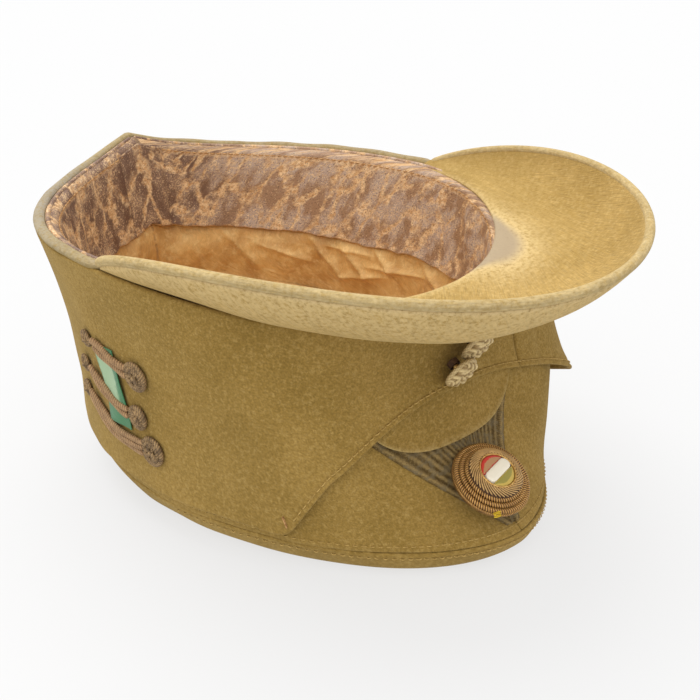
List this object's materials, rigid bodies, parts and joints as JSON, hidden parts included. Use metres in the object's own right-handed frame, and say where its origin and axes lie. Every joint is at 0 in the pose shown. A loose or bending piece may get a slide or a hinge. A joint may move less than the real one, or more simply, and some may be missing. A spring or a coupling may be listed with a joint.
{
  "type": "field cap",
  "caption": "Soft wool officer's field cap with a cloth peak, turned-up buttoned flap, leather sweatband and satin lining, lying on its crown.",
  "frame": {"origin": "on the ground plane under the centre of the cap's bounding box; the crown's flat top lies on z = 0", "axes": "+Z out of the head opening (the cap lies upside-down on its crown), -Y towards the peak (the wearer's front), -X towards the wearer's left"},
  "size_m": [0.1942, 0.2645, 0.1256],
  "materials": {
    "wool_cloth": "felted wool, matt, brushed nap",
    "rim_cloth": "felted wool worn grey along the fold",
    "buckram": "stiffened open weave",
    "board": "stiff pressed board, hidden",
    "satin_lining": "satin, soft sheen, wrinkled",
    "sweatband_leather": "dark brown, cracked and scuffed",
    "thread": "waxed thread",
    "rank_lace": "ribbed woven lace, tarnished",
    "gilt_cord": "metallic cord, tarnished gold",
    "aged_cord": "metallic cord, aged brown",
    "button_cord": "plaited pale cord over a dome",
    "backing_metal": "dull aged brass",
    "bezel_metal": "worn brass",
    "red_enamel": "worn enamel",
    "white_enamel": "worn enamel",
    "green_enamel": "faded enamel",
    "green_ribbon": "faded grosgrain ribbon"
  },
  "bodies": {
    "cap": {"button_left_thread_collar": "thread", "button_right_thread_collar": "thread", "cockade_backing": "backing_metal", "cockade_bezel": "bezel_metal", "cockade_cord_ring_1": "gilt_cord", "cockade_cord_ring_2": "gilt_cord", "cockade_cord_ring_3": "gilt_cord", "cockade_core": "backing_metal", "cockade_green_field": "green_enamel", "cockade_pleated_collar": "gilt_cord", "cockade_red_field": "red_enamel", "cockade_white_bar": "white_enamel", "crown_left_panel": "wool_cloth", "crown_right_panel": "wool_cloth", "crown_seam_stitching": "thread", "crown_top_panel": "wool_cloth", "flap_edge_stitching_left": "thread", "flap_edge_stitching_right": "thread", "flap_left": "wool_cloth", "flap_right": "wool_cloth", "flap_tongue": "wool_cloth", "front_stiffener": "buckram", "lining_top": "satin_lining", "lining_wall": "satin_lining", "ornament_bar_lower": "aged_cord", "ornament_bar_middle": "aged_cord", "ornament_bar_upper": "aged_cord", "ornament_front_knot_lower": "aged_cord", "ornament_front_knot_middle": "aged_cord", "ornament_front_knot_upper": "aged_cord", "ornament_rear_knot_lower": "aged_cord", "ornament_rear_knot_middle": "aged_cord", "ornament_rear_knot_upper": "aged_cord", "ornament_ribbon": "green_ribbon", "peak_board": "board", "peak_edge_roll": "wool_cloth", "peak_top_cloth": "wool_cloth", "peak_underside_cloth": "wool_cloth", "rank_lace_left": "rank_lace", "rank_lace_right": "rank_lace", "rim_fold": "rim_cloth", "sweatband": "sweatband_leather", "sweatband_join_strip": "sweatband_leather", "sweatband_reed": "sweatband_leather", "sweatband_stitching": "thread"},
    "button_left": {"button_left_dome": "button_cord", "button_left_shank": "bezel_metal"},
    "button_right": {"button_right_dome": "button_cord", "button_right_shank": "bezel_metal"}
  },
  "joints": [
    {"name": "button_left_turn", "type": "hinge", "parent": "cap", "child": "button_left", "pos_m": [-0.00643, -0.07262, 0.07257], "axis": [-0.0147, -0.8457, -0.5335], "range_deg": [-90, 90]},
    {"name": "button_right_turn", "type": "hinge", "parent": "cap", "child": "button_right", "pos_m": [0.00148, -0.07318, 0.08037], "axis": [-0.0066, -0.8404, -0.542], "range_deg": [-90, 90]}
  ]
}
